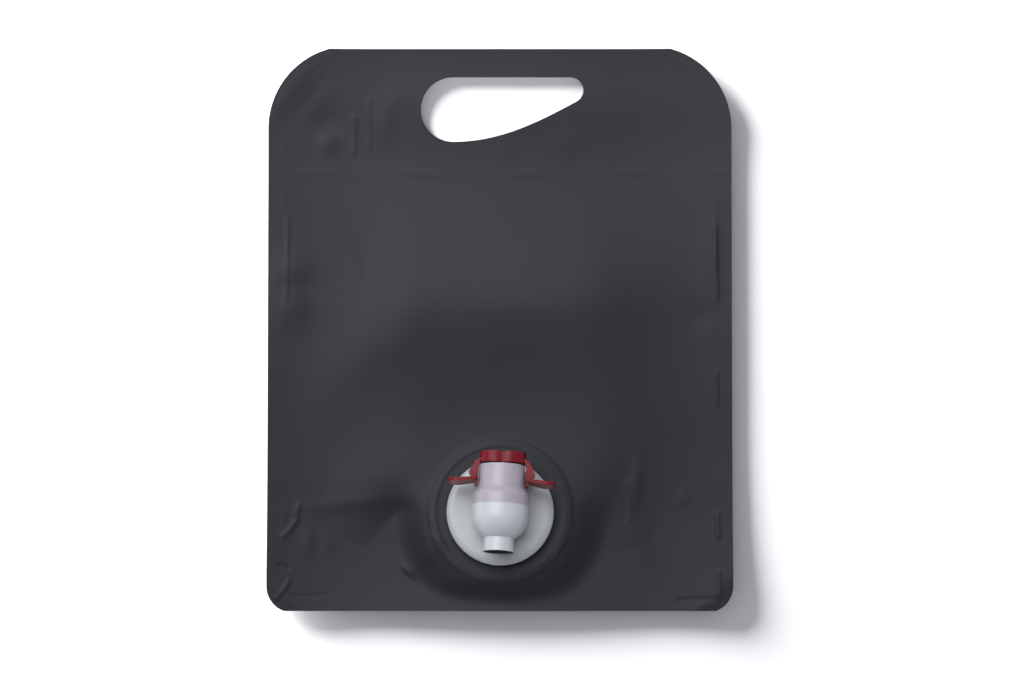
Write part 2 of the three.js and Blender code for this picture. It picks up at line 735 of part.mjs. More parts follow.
function makeHandle(side) {
  const arm = block(
    [armInner, ARM_BOTTOM, AXIS_OVER_SHIELD - ARM_HALF_DEPTH],
    [armInner + ARM_THICKNESS, PIVOT_Y - LUG_LENGTH - 1, AXIS_OVER_SHIELD + ARM_HALF_DEPTH],
  );
  const backCheek = cheekPlate(AXIS_OVER_SHIELD - earFar);
  const frontCheek = cheekPlate(AXIS_OVER_SHIELD + earNear);
  const earEnds = [AXIS_OVER_SHIELD - earFar, AXIS_OVER_SHIELD + earFar];
  const ears = pinAlongZ(PIVOT_X, PIVOT_Y, ...earEnds, earRadius);
  const between = block(
    [PIVOT_X - LUG_RADIUS - 2 * SEAT_GAP, PIVOT_Y - LUG_LENGTH, AXIS_OVER_SHIELD - earNear],
    [CHEEK_REACH + 1, PIVOT_Y + LUG_RADIUS + SEAT_GAP, AXIS_OVER_SHIELD + earNear],
  );
  const pinHole = pinAlongZ(PIVOT_X, PIVOT_Y, earEnds[0] - 1, earEnds[1] + 1, pinClearRadius);
  let half = solid(capHalf()).subtract(solid(centreWedge()));
  half = half.add(solid(ears)).add(solid(backCheek)).add(solid(frontCheek));
  half = half.subtract(solid(between)).add(solid(arm)).add(solid(wing())).subtract(solid(pinHole));
  half = side < 0 ? half.add(solid(tongue())) : half.subtract(solid(tongueSlot()));
  return mirrored(geometryOf(half), side);
}

// The finished object.

const film = { color: 0x2f3136, roughness: 0.45, metalness: 0 };
const clearPlastic = { color: 0xc8cacd, roughness: 0.35, metalness: 0 };
const redPlastic = { color: 0x9e1b2c, roughness: 0.3, metalness: 0 };
const whitePlastic = { color: 0xdcdcd8, roughness: 0.4, metalness: 0 };

function named(name, geometry, look) {
  const mesh = new THREE.Mesh(geometry, new THREE.MeshStandardMaterial(look));
  mesh.name = name;
  return mesh;
}

const group = new THREE.Group();
group.add(named("pouch", geometryOf(makePouch()), film));
group.add(tapFrame);
tapFrame.add(named("gland", geometryOf(makeGland()), whitePlastic));
tapFrame.add(named("tap_body", geometryOf(makeTapBody()), clearPlastic));
tapFrame.add(named("plunger", geometryOf(makePlunger()), redPlastic));
tapFrame.add(named("return_dome", geometryOf(makeReturnDome()), redPlastic));
tapFrame.add(named("handle_left", makeHandle(-1), redPlastic));
tapFrame.add(named("handle_right", makeHandle(1), redPlastic));

export default group;
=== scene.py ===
import json
import math

import bpy
import numpy as np
from mathutils import Matrix, Vector


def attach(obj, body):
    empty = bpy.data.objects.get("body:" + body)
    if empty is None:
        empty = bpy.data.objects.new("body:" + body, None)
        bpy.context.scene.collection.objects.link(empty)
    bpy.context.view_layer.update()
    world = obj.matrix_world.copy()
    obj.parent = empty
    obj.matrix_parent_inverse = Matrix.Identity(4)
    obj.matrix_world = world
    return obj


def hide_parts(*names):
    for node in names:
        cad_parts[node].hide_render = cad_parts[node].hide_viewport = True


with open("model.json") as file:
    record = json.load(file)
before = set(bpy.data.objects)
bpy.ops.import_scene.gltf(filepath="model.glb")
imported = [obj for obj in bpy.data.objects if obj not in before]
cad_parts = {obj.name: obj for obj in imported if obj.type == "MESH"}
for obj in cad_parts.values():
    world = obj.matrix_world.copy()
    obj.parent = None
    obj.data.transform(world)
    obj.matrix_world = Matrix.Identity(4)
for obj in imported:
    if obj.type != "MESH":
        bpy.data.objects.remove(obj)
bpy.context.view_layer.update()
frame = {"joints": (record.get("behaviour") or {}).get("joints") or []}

bl_info = {
    "name": "Stand-up pouch with a press tap",
    "version": (1, 0, 0),
    "blender": (4, 5, 0),
    "location": "View3D > Sidebar > Pouch",
    "description": "Models the film, the gland, the tap and its handle round the packed part",
    "category": "Object",
}

MM = 0.001

# Pouch, in millimetres: X across it, Y up to the handle hole, Z out of the front panel.
HALF_WIDTH, HALF_HEIGHT = 97.0, 117.5
TOP_CORNER, TOP_CUT = 34.9, 1.3
BOTTOM_CORNER, BOTTOM_CUT = 11.0, 0.7
TOP_SEAL_Y = 65.6
GUSSET_FOLD_Y = -72.5
MOUTH_HALF_WIDTH = 88.0
MOUTH_EDGE, MOUTH_RISE = 0.5, 2.6
MOUTH_EASE_ABOVE, MOUTH_EASE = 30, 50
BACK_WALL = 0.7
HOLE_MARGIN, HOLE_X, HOLE_HALF_WIDTH = 11.75, 0.9, 34.1
HOLE_LEFT_RADIUS, HOLE_RIGHT_RADIUS, HOLE_SLOPE = 13.45, 5.4, -62
HEADER_BOW_Y, HEADER_BOW_ACROSS, HEADER_BOW_ALONG = 94, 70, 15
GRID_STEP, SLOT_STEP = 1.3, 2.2

# How the front panel leaves its seals, and how deep its hollows may go.
PANEL_EASE = 60
BOTTOM_SEAL, BOTTOM_EASE = 6, 30
DEEPEST_HOLLOW = 2.7

# The film over the gland: radii about the tap, and its level in front of the shield's face.
PLATEAU_RADIUS, PLATEAU_REACH, PLATEAU_LEVEL = 28.2, 46.0, -5.9
STEP_END, STEP_DEPTH = 31.5, 0.5
FLANGE_RINGS = [(27.4, 0.7, 0.28), (29.4, 0.6, 0.2)]
WELD_HALF_WIDTH, WELD_RISE = 0.8, 0.16
SEAL_STEP_HALF_WIDTH, SEAL_STEP_RISE = 0.9, 0.14

# Broad swells of the slack front panel: middle, half lengths across and along, turn, rise.
SWELLS = [
    (34, 14, 84, 24, 4, 2.2),
    (-62, -12, 38, 14, 42, 2.9),
    (-68, -70, 34, 14, 14, 3.2),
    (-40, -82, 14, 14, 0, -3.6),
    (40, -86, 11, 11, 0, -1.6),
]

# Soft dents and bumps: middle, half lengths across and along, turn, rise.
BUMPS = [
    (-72.5, 78.5, 4.0, 5.0, 0, 0.75),
    (-49.5, 84.0, 4.0, 7.5, 10, 0.6),
    (-45.0, 95.0, 4.5, 6.0, -20, 0.45),
    (-71.5, 87.5, 6.5, 6.5, 0, -0.7),
    (-88.0, 100.0, 3.0, 14.0, -38, 0.3),
    (-80.0, 97.0, 2.5, 14.0, -38, -0.22),
    (-87.0, 25.0, 8.0, 9.0, 0, 1.3),
    (-87.0, 9.5, 7.0, 9.0, 0, 1.3),
    (-84.0, 17.5, 8.0, 4.5, 0, -0.4),
    (-56.0, 26.0, 4.0, 15.0, 12, -0.5),
    (-41.0, 20.0, 8.0, 16.0, 8, 0.5),
    (88.0, 30.0, 4.0, 24.0, 0, 0.7),
    (84.0, 6.0, 5.0, 6.0, 30, -0.5),
    (57.0, -64.0, 2.4, 11.0, -6, 0.5),
    (76.5, -70.5, 3.0, 3.5, 0, 0.35),
    (58.0, -92.0, 7.0, 11.0, 24, 0.6),
    (-59.0, -72.0, 22.0, 3.0, 6, 0.45),
    (-80.0, -88.0, 2.6, 6.0, 0, 0.4),
    (-72.0, -90.0, 2.4, 5.0, 0, 0.35),
    (27.0, 78.0, 9.0, 6.0, 20, 0.35),
    (3.0, 77.0, 4.0, 7.0, 0, 0.25),
]

# Creases and ridges: the points that each follows, its half width and its rise.
GLAND_WRINKLES = [
    ([(-25.0, -86.0), (-31.0, -93.0), (-39.5, -103.0)], 4.2, 0.9),
    ([(23.5, -89.0), (27.0, -100.0)], 3.0, 0.7),
]
CREASES = [
    ([(-61.4, 91.0), (-61.2, 76.5), (-62.0, 72.4)], 1.1, 0.35),
    ([(-55.2, 98.0), (-55.0, 74.0)], 1.0, 0.3),
    (
        [(-83.0, -72.0), (-85.0, -76.5), (-84.6, -79.5), (-88.0, -84.5), (-91.5, -87.5)],
        1.1,
        0.5,
    ),
    ([(-92.5, -98.0), (-88.5, -99.3), (-87.4, -100.5)], 0.8, -0.4),
    ([(-93.8, -113.5), (-89.5, -108.0), (-87.0, -104.0)], 0.9, 0.45),
    ([(-88.0, -111.3), (-70.0, -111.0)], 0.7, -0.2),
    ([(73.0, -113.2), (90.0, -112.6)], 1.0, -0.35),
    ([(90.6, -75.5), (91.2, -88.0)], 0.8, 0.5),
    ([(90.9, -100.0), (91.6, -112.5)], 0.8, 0.5),
    ([(90.2, 46.0), (90.9, 10.0)], 0.7, 0.45),
    ([(90.6, -17.0), (90.8, -33.0)], 0.7, 0.35),
    ([(-88.8, 50.0), (-89.4, 10.0)], 0.8, 0.3),
    *GLAND_WRINKLES,
    ([(53.5, -62.0), (54.2, -82.0)], 1.3, 0.2),
]

# Tap, in millimetres in its own frame: Z is the shield's normal, Y runs up the barrel.
AXIS = 11.0
SHIELD_RADIUS, SHIELD_FLAT, SHIELD_BEVEL = 22.3, 19.4, 1.9
BARREL_RADIUS, CHAMBER_RADIUS, BARREL_TOP = 9.6, 11.8, 17.3
BORE, CHAMBER_BORE = 8.3, 10.4
NOZZLE_RADIUS, NOZZLE_END, BOWL_TOP = 6.1, -18.4, -3.6
PIVOT_X, PIVOT_Y = 10.4, 17.9
CAP_BOTTOM, CAP_HEIGHT = 18.2, 4.5
CAP_HALF_WIDTH, CAP_HALF_DEPTH = 9.7, 7.2
CAP_LEAN, WING_DROOP = 11, 5.5
WING_LENGTH, WING_CORNER, WING_FLAT = 11.9, 4.2, 2.4
HANDLE_BEVEL = 0.28

# Fixed second tones of the plastics; the main tones are settings.
CLEAR_SHADE, GLAND_SHADE = "#bfc2c7", "#d8d8d4"
# Painted shade for the inside of the outlet, in two tones.
BORE_PAINTED_SHADE = ("#2c2e2e", "#333535")

# Lights as place, size in metres and power in watts. The camera aims at a point in millimetres.
OVERHEAD_LIGHT = ((-0.32, 0.47, 0.95), 1.1, 13.5)
FLOOR_LIGHT = ((-1.1, 0.88, 0.43), 1.0, 96)
ROOM_TONE, ROOM_STRENGTH = "#f4f6ff", 0.42
CAMERA_AIM, CAMERA_DISTANCE = (5.05, -5.34, 6), 1.25
CAMERA_ELEVATION, CAMERA_LENS = 87.7, 105.2

joints = {joint["name"]: joint for joint in frame["joints"]}
tap_normal = Vector(joints["tap_swivel"]["axis"]).normalized()
tap_up = -Vector(joints["plunger_press"]["axis"]).normalized()
TAP = (
    Matrix.Translation(joints["tap_swivel"]["pos_m"])
    @ Matrix((tap_up.cross(tap_normal), tap_up, tap_normal)).transposed().to_4x4()
)
TAP_X, TAP_Y, TAP_Z = (value / MM for value in TAP.translation)


def linear(code):
    """A hex sRGB colour as linear RGBA."""
    parts = [int(code[i : i + 2], 16) / 255 for i in (1, 3, 5)]
    return [p / 12.92 if p <= 0.04045 else ((p + 0.055) / 1.055) ** 2.4 for p in parts] + [1.0]


# Meshes.


def deselect():
    if bpy.context.object and bpy.context.object.mode != "OBJECT":
        bpy.ops.object.mode_set(mode="OBJECT")
    bpy.ops.object.select_all(action="DESELECT")


def activate(obj):
    deselect()
    obj.select_set(True)
    bpy.context.view_layer.objects.active = obj


def edit(obj):
    activate(obj)
    bpy.ops.object.mode_set(mode="EDIT")
    bpy.ops.mesh.select_all(action="SELECT")


def applied(obj, kind, **settings):
    """Adds a modifier with its settings, and applies it."""
    activate(obj)
    modifier = obj.modifiers.new(kind, kind)
    for key, value in settings.items():
        setattr(modifier, key, value)
    bpy.ops.object.modifier_apply(modifier=modifier.name)
    return obj


def combined(obj, others, operation, solver="EXACT"):
    """Joins the others to obj, or cuts them from it, and removes them."""
    for other in others:
        applied(obj, "BOOLEAN", operation=operation, object=other, solver=solver)
        bpy.data.objects.remove(other)
    return obj


def prism(outline, depth, place):
    """An outline in millimetres, filled, extruded along Z and put at its place."""
    deselect()
    bpy.ops.mesh.primitive_circle_add(vertices=len(outline), radius=MM, fill_type="NGON")
    obj = bpy.context.object
    for vertex, (x, y) in zip(obj.data.vertices, outline):
        vertex.co = (x * MM, y * MM, 0)
    edit(obj)
    bpy.ops.mesh.extrude_region_move(TRANSFORM_OT_translate={"value": (0, 0, depth * MM)})
    bpy.ops.mesh.select_all(action="SELECT")
    bpy.ops.mesh.normals_make_consistent(inside=False)
    bpy.ops.object.mode_set(mode="OBJECT")
    obj.data.transform(place)
    return obj


def turned(profile, about_barrel, steps=96):
    """A closed profile of (radius, height) pairs, spun about the barrel or the shield's normal."""
    deselect()
    bpy.ops.mesh.primitive_circle_add(vertices=len(profile), radius=MM, fill_type="NOTHING")
    obj = bpy.context.object
    for vertex, (radius, height) in zip(obj.data.vertices, profile):
        place = (radius, height, 0) if about_barrel else (radius, 0, height)
        vertex.co = Vector(place) * MM
    edit(obj)
    axis = (0, 1, 0) if about_barrel else (0, 0, 1)
    bpy.ops.mesh.spin(steps=steps, angle=2 * math.pi, center=(0, 0, 0), axis=axis)
    bpy.ops.mesh.select_all(action="SELECT")
    bpy.ops.mesh.remove_doubles(threshold=MM / 1000)
    bpy.ops.mesh.delete_loose()
    bpy.ops.mesh.select_all(action="SELECT")
    bpy.ops.mesh.normals_make_consistent(inside=False)
    bpy.ops.object.mode_set(mode="OBJECT")
    if about_barrel:
        obj.data.transform(Matrix.Translation((0, 0, AXIS * MM)))
    return obj


def block(low, high, bevel=0.0):
    """A box from its lowest to its highest corner, with its edges broken."""
    deselect()
    size = [(b - a) * MM for a, b in zip(low, high)]
    middle = [(a + b) / 2 * MM for a, b in zip(low, high)]
    bpy.ops.mesh.primitive_cube_add(size=1)
    obj = bpy.context.object
    obj.data.transform(Matrix.Translation(middle) @ Matrix.Diagonal((*size, 1)))
    if bevel:
        applied(obj, "BEVEL", width=bevel * MM, segments=2)
    return obj


def pin(x, y, low, high, radius, sides=24):
    """A pin along Z."""
    turn = [2 * math.pi * i / sides for i in range(sides)]
    outline = [(x + radius * math.cos(a), y + radius * math.sin(a)) for a in turn]
    return prism(outline, high - low, Matrix.Translation((0, 0, low * MM)))


def mirrored(obj):
    obj.data.transform(Matrix.Diagonal((-1, 1, 1, 1)))
    obj.data.flip_normals()
    return obj


def dressed(obj, name, material, body, slot, *nodes, in_tap=True, angle=35):
    """Names a finished piece, shades it, and puts it on the body that carries it."""
    if in_tap:
        obj.data.transform(TAP)
    obj.name = obj.data.name = name
    activate(obj)
    bpy.ops.object.shade_smooth_by_angle(angle=math.radians(angle))
    obj.data.materials.clear()
    obj.data.materials.append(material)
    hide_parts(*nodes)
    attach(obj, body)
    return obj


# Shape of the film.


def smooth(value, start, end):
    t = np.clip((value - start) / (end - start), 0, 1)
    return t * t * (3 - 2 * t)


def swelling(x, y, swell):
    middle_x, middle_y, across, along, turn, rise = swell
    angle = math.radians(turn)
    dx, dy = x - middle_x, y - middle_y
    u = (dx * math.cos(angle) + dy * math.sin(angle)) / across
    v = (dy * math.cos(angle) - dx * math.sin(angle)) / along
    return rise * np.exp(-(u * u + v * v))


def distance_along(x, y, points):
    """Each point's distance from a line, and the share of the line run at its nearest point."""
    best = np.full_like(x, 1e9)
    share = np.zeros_like(x)
    lengths = [math.dist(a, b) for a, b in zip(points, points[1:])]
    run = 0.0
    for (x0, y0), (x1, y1), length in zip(points, points[1:], lengths):
        t = np.clip(((x - x0) * (x1 - x0) + (y - y0) * (y1 - y0)) / length**2, 0, 1)
        d = np.hypot(x - x0 - t * (x1 - x0), y - y0 - t * (y1 - y0))
        nearer = d < best
        best = np.where(nearer, d, best)
        share = np.where(nearer, (run + t * length) / sum(lengths), share)
        run += length
    return best, share


def crease_height(x, y, crease):
    points, half_width, rise = crease
    distance, share = distance_along(x, y, points)
    ends = smooth(share, 0, 0.12) * smooth(1 - share, 0, 0.12)
    return rise * ends * np.exp(-((distance / half_width) ** 2))


def half_width_at(y):
    """Half the pouch's width at a height. Its corner arcs stop short of the straight edges."""
    top_y = HALF_HEIGHT + TOP_CUT - TOP_CORNER
    bottom_y = -HALF_HEIGHT - BOTTOM_CUT + BOTTOM_CORNER
    up = np.clip((y - top_y) / TOP_CORNER, 0, 1)
    down = np.clip((bottom_y - y) / BOTTOM_CORNER, 0, 1)
    top = HALF_WIDTH - TOP_CORNER * (1 - np.sqrt(1 - up * up))
    bottom = HALF_WIDTH - BOTTOM_CORNER * (1 - np.sqrt(1 - down * down))
    return np.minimum(top, bottom)


def back_height(x, y, film):
    width = film.lift_width / MM
    dx = np.maximum(0, np.abs(x) - HALF_WIDTH + width)
    dy = np.maximum(0, np.abs(y) - HALF_HEIGHT + width)
    lift = film.edge_lift / MM * np.minimum(1.2, np.hypot(dx, dy) / width) ** 2
    across, along = x / HEADER_BOW_ACROSS, (y - HEADER_BOW_Y) / HEADER_BOW_ALONG
    return lift + film.header_bow / MM * np.exp(-(across**2) - along**2)


def mouth_height(x, y):
    across = np.cos(math.pi / 2 * np.minimum(1, np.abs(x) / MOUTH_HALF_WIDTH)) ** 2
    along = np.maximum(0, (GUSSET_FOLD_Y - y) / (HALF_HEIGHT + GUSSET_FOLD_Y))
    return MOUTH_EDGE + MOUTH_RISE * across * along**1.5


def plane_height(x, y, level):
    """Height of the plane that lies a level in front of the shield's face."""
    run = tap_normal.x * (x - TAP_X) + tap_normal.y * (y - TAP_Y)
    return TAP_Z + (level - run) / tap_normal.z


def front_height(x, y, film):
    seal = film.seal_thickness / MM
    width = film.side_seal / MM
    from_side = smooth(half_width_at(y) - np.abs(x), width, width + PANEL_EASE)
    from_top = smooth(TOP_SEAL_Y - y, 0, PANEL_EASE)
    from_bottom = smooth(y + HALF_HEIGHT, BOTTOM_SEAL, BOTTOM_SEAL + BOTTOM_EASE)
    inside = from_side * from_top * from_bottom
    swells = sum(swelling(x, y, swell) for swell in SWELLS)
    slack = seal + inside * (film.panel_rise / MM + np.maximum(swells, -DEEPEST_HOLLOW))
    lifted = BACK_WALL + mouth_height(x, y) + seal
    in_mouth = smooth(GUSSET_FOLD_Y + MOUTH_EASE_ABOVE - y, 0, MOUTH_EASE)
    height = back_height(x, y, film) + slack + in_mouth * np.maximum(0, lifted - slack)
    detail = sum(swelling(x, y, bump) for bump in BUMPS)
    detail = detail + sum(crease_height(x, y, crease) for crease in CREASES)
    # The weld line of the top seal, and the step where the panel leaves the side seals.
    weld = WELD_RISE * np.exp(-(((y - TOP_SEAL_Y) / WELD_HALF_WIDTH) ** 2))
    detail = detail + weld * (0.6 + 0.4 * np.sin(x / 7.0))
    inner = half_width_at(y) - width - np.abs(x)
    waver = 0.5 + 0.5 * np.sin(y / 5.3 + 1.7 * np.sin(y / 11.0) + np.sign(x))
    seal_step = SEAL_STEP_RISE * waver * np.exp(-((inner / SEAL_STEP_HALF_WIDTH) ** 2))
    detail = detail + seal_step
    near_edge = smooth(half_width_at(y) - np.abs(x), 0.3, 3.0)
    near_end = smooth(HALF_HEIGHT - np.abs(y), 0.3, 3.0)
    height = height + film.crease_depth * detail * near_edge * near_end
    from_tap = np.hypot(x - TAP_X, y - TAP_Y)
    reach = PLATEAU_REACH + 0.5 * np.maximum(0, y - TAP_Y)
    on_gland = 1 - smooth(from_tap, PLATEAU_RADIUS, reach)
    on_gland = on_gland * smooth(y + HALF_HEIGHT, 1, 13)
    # The flange shows through the film as two faint rings.
    rings = sum(
        rise * np.exp(-(((from_tap - radius) / half_width) ** 2))
        for radius, half_width, rise in FLANGE_RINGS
    )
    step = -STEP_DEPTH * smooth(from_tap, PLATEAU_RADIUS, STEP_END)
    wrinkles = sum(crease_height(x, y, crease) for crease in GLAND_WRINKLES)
    raised = plane_height(x, y, PLATEAU_LEVEL) + rings + step + 0.6 * wrinkles
    return height + (raised - height) * on_gland


def handle_hole():
    """A round left end, a small round right end, a straight top and a bowed lower edge."""
    top = HALF_HEIGHT - HOLE_MARGIN
    left_r, right_r = HOLE_LEFT_RADIUS, HOLE_RIGHT_RADIUS
    left_x, left_y = HOLE_X - HOLE_HALF_WIDTH + left_r, top - left_r
    right_x, right_y = HOLE_X + HOLE_HALF_WIDTH - right_r, top - right_r
    end = math.radians(HOLE_SLOPE)
    end_x, end_y = right_x + right_r * math.cos(end), right_y + right_r * math.sin(end)
    turn = [math.pi / 2 + math.pi * i / 40 for i in range(41)]
    outline = [(left_x + left_r * math.cos(a), left_y + left_r * math.sin(a)) for a in turn]
    pulls = [
        (left_x, left_y - left_r),
        (left_x + 20, left_y - left_r),
        (end_x + 18 * math.sin(end), end_y - 18 * math.cos(end)),
        (end_x, end_y),
    ]
    for i in range(1, 40):
        t = i / 40
        share = ((1 - t) ** 3, 3 * t * (1 - t) ** 2, 3 * t * t * (1 - t), t**3)
        outline.append(tuple(sum(s * p[k] for s, p in zip(share, pulls)) for k in (0, 1)))
    turn = [end + (math.pi / 2 - end) * i / 24 for i in range(25)]
    return outline + [
        (right_x + right_r * math.cos(a), right_y + right_r * math.sin(a)) for a in turn
    ]


def sheet_grid(low, high, step, top, bottom):
    """A closed slab over a rectangle, between two surfaces given as functions of x and y."""
    deselect()
    columns = round((high[0] - low[0]) / step)
    rows = round((high[1] - low[1]) / step)
    bpy.ops.mesh.primitive_grid_add(x_subdivisions=columns, y_subdivisions=rows, size=1)
    obj = bpy.context.object
    edit(obj)
    bpy.ops.mesh.extrude_region_move(TRANSFORM_OT_translate={"value": (0, 0, 1)})
    bpy.ops.mesh.select_all(action="SELECT")
    bpy.ops.mesh.normals_make_consistent(inside=False)
    bpy.ops.object.mode_set(mode="OBJECT")
    shaped(obj, lambda p: lay_out(p, low, high, top, bottom))
    return obj


def lay_out(points, low, high, top, bottom):
    x = low[0] + (points[:, 0] + 0.5) * (high[0] - low[0])
    y = low[1] + (points[:, 1] + 0.5) * (high[1] - low[1])
    x = x * half_width_at(y) / HALF_WIDTH
    z = np.where(points[:, 2] > 0.5, top(x, y), bottom(x, y))
    return np.column_stack([x, y, z]) * MM


def shaped(obj, move):
    points = np.empty(len(obj.data.vertices) * 3)
    obj.data.vertices.foreach_get("co", points)
    obj.data.vertices.foreach_set("co", move(points.reshape(-1, 3)).ravel())
    obj.data.update()


def refine(obj, film):
    """Divides the front faces near the creases, and lays the new points on the film's surface."""
    mesh = obj.data
    centres = np.empty(len(mesh.polygons) * 3)
    mesh.polygons.foreach_get("center", centres)
    normals = np.empty(len(mesh.polygons) * 3)
    mesh.polygons.foreach_get("normal", normals)
    x, y = centres.reshape(-1, 3)[:, 0] / MM, centres.reshape(-1, 3)[:, 1] / MM
    near = np.zeros(len(x), bool)
    for points, half_width, _ in CREASES:
        near |= distance_along(x, y, points)[0] < half_width + 1.6
    from_tap = np.hypot(x - TAP_X, y - TAP_Y)
    near |= (from_tap > 25.8) & (from_tap < 31.2)
    near &= normals.reshape(-1, 3)[:, 2] > 0.5
    edit(obj)
    bpy.ops.mesh.select_all(action="DESELECT")
    bpy.ops.mesh.select_mode(type="FACE")
    bpy.ops.object.mode_set(mode="OBJECT")
    mesh.polygons.foreach_set("select", near)
    count = len(mesh.vertices)
    bpy.ops.object.mode_set(mode="EDIT")
    bpy.ops.mesh.subdivide(number_cuts=1)
    bpy.ops.mesh.select_mode(type="VERT")
    bpy.ops.object.mode_set(mode="OBJECT")

    def settle(points):
        new = points[count:]
        new[:, 2] = front_height(new[:, 0] / MM, new[:, 1] / MM, film) * MM
        return points

    shaped(obj, settle)


# Materials.


def add_node(tree, kind, settings=(), **links):
    """Adds a node: settings are its properties and socket values, links are its input sockets."""
    node = tree.nodes.new(kind)
    for key, value in dict(settings).items():
        if isinstance(key, str) and key not in node.inputs:
            setattr(node, key, value)
        else:
            node.inputs[key].default_value = value
    for key, socket in links.items():
        tree.links.new(socket, node.inputs[key.replace("_", " ")])
    return node


def new_material(name, **values):
    material = bpy.data.materials.new(name)
    material.use_nodes = True
    tree = material.node_tree
    shader = tree.nodes["Principled BSDF"]
    for key, value in values.items():
        shader.inputs[key.replace("_", " ")].default_value = value
    place = add_node(tree, "ShaderNodeTexCoord").outputs["Object"]
    return material, tree, shader, place


def mottled(tree, shader, place, base, other, size, roughness, spread):
    """Slow changes of colour and gloss, with patches of a size in metres."""
    noise = add_node(
        tree, "ShaderNodeTexNoise", {"Scale": 1 / size, "Detail": 3.0}, Vector=place
    )
    colour = add_node(tree, "ShaderNodeMix", {"data_type": "RGBA"})
    colour.inputs[6].default_value = linear(base)
    colour.inputs[7].default_value = linear(other)
    tree.links.new(noise.outputs["Fac"], colour.inputs[0])
    tree.links.new(colour.outputs[2], shader.inputs["Base Color"])
    gloss = add_node(
        tree,
        "ShaderNodeMapRange",
        {"To Min": roughness - spread, "To Max": roughness + spread},
        Value=noise.outputs["Fac"],
    )
    tree.links.new(gloss.outputs["Result"], shader.inputs["Roughness"])


def grained(tree, shader, place, size, depth):
    """A fine moulded or lacquered grain as bump, with a grain size and depth in metres."""
    noise = add_node(
        tree, "ShaderNodeTexNoise", {"Scale": 1 / size, "Detail": 2.0}, Vector=place
    )
    bump = add_node(
        tree, "ShaderNodeBump", {"Strength": 1.0, "Distance": depth}, Height=noise.outputs["Fac"]
    )
    tree.links.new(bump.outputs["Normal"], shader.inputs["Normal"])


def matt_lacquered_laminate(colours):
    """Printed PET/PE laminate under a matt lacquer: near black, with a broad soft sheen."""
    material, tree, shader, place = new_material(
        "matt_lacquered_laminate", IOR=1.5, Specular_IOR_Level=0.25
    )
    mottled(tree, shader, place, colours.film, colours.film_shade, 0.045, 0.56, 0.04)
    # The film is painted darker towards the lower right: painted shade that stands in for the
    # light falling off across the panel, set as a colour here.
    slant = add_node(
        tree, "ShaderNodeVectorMath", {"operation": "DOT_PRODUCT", 1: (-0.45, 0.9, 0)}
    )
    tree.links.new(place, slant.inputs[0])
    fade = add_node(
        tree,
        "ShaderNodeMapRange",
        {"From Min": -0.07, "From Max": 0.09, "To Min": 0.62, "To Max": 0},
        Value=slant.outputs["Value"],
    )
    low = add_node(tree, "ShaderNodeMix", {"data_type": "RGBA"})
    low.inputs[7].default_value = linear(colours.film_low)
    tree.links.new(fade.outputs["Result"], low.inputs[0])
    tree.links.new(shader.inputs["Base Color"].links[0].from_socket, low.inputs[6])
    tree.links.new(low.outputs[2], shader.inputs["Base Color"])
    grained(tree, shader, place, 0.0011, 0.00001)
    return material


def natural_polypropylene(colours):
    """Undyed moulded polypropylene: milky, with the plunger's red, as it shows through the wall,
    painted on the barrel as a tint.
    """
    material, tree, shader, place = new_material(
        "natural_polypropylene",
        IOR=1.49,
        Transmission_Weight=0.12,
        Subsurface_Weight=0.35,
        Subsurface_Scale=0.0015,
        Coat_Weight=0.15,
        Coat_Roughness=0.2,
    )
    shader.inputs["Subsurface Radius"].default_value = (1.0, 0.95, 0.95)
    mottled(tree, shader, place, colours.clear_plastic, CLEAR_SHADE, 0.012, 0.4, 0.03)
    # The painted tint stops at an edge at the height where the plunger's head ends in the chamber.
    dot = add_node(
        tree, "ShaderNodeVectorMath", {"operation": "DOT_PRODUCT", 1: tuple(tap_up)}
    )
    tree.links.new(place, dot.inputs[0])
    start = TAP.translation.dot(tap_up) + 0.2 * MM
    reach = add_node(
        tree,
        "ShaderNodeMapRange",
        {"From Min": start, "From Max": start + 0.7 * MM, "To Max": colours.plunger_tint},
        Value=dot.outputs["Value"],
    )
    across = add_node(
        tree, "ShaderNodeVectorMath", {"operation": "DOT_PRODUCT", 1: tuple(tap_normal)}
    )
    tree.links.new(place, across.inputs[0])
    over = TAP.translation.dot(tap_normal) + 1.5 * MM
    on_barrel = add_node(
        tree,
        "ShaderNodeMapRange",
        {"From Min": over, "From Max": over + 2 * MM},
        Value=across.outputs["Value"],
    )
    share = add_node(tree, "ShaderNodeMath", {"operation": "MULTIPLY"})
    tree.links.new(reach.outputs["Result"], share.inputs[0])
    tree.links.new(on_barrel.outputs["Result"], share.inputs[1])
    tint = add_node(tree, "ShaderNodeMix", {"data_type": "RGBA"})
    tint.inputs[7].default_value = linear(colours.tinted_plastic)
    tree.links.new(share.outputs["Value"], tint.inputs[0])
    tree.links.new(shader.inputs["Base Color"].links[0].from_socket, tint.inputs[6])
    # The shield is painted greyer than the barrel: painted shade for the dark film showing through
    # the thin plastic.
    shield_painted_shade = add_node(tree, "ShaderNodeMix", {"data_type": "RGBA"})
    shield_painted_shade.inputs[6].default_value = linear(colours.shield)
    tree.links.new(on_barrel.outputs["Result"], shield_painted_shade.inputs[0])
    tree.links.new(tint.outputs[2], shield_painted_shade.inputs[7])
    tree.links.new(shield_painted_shade.outputs[2], shader.inputs["Base Color"])
    grained(tree, shader, place, 0.0009, 0.000006)
    return material


def shaded_bore(colours):
    """Painted shade: an almost black tone for the inside of the outlet, where little light
    reaches.
    """
    material, tree, shader, place = new_material("shaded_bore", IOR=1.49)
    mottled(tree, shader, place, *BORE_PAINTED_SHADE, 0.004, 0.6, 0.05)
    return material


def white_polyethylene(colours):
    """Moulded HDPE, opaque enough to weld to the film."""
    material, tree, shader, place = new_material("white_polyethylene", IOR=1.54)
    mottled(tree, shader, place, colours.gland, GLAND_SHADE, 0.01, 0.42, 0.03)
    grained(tree, shader, place, 0.0007, 0.000006)
    return material


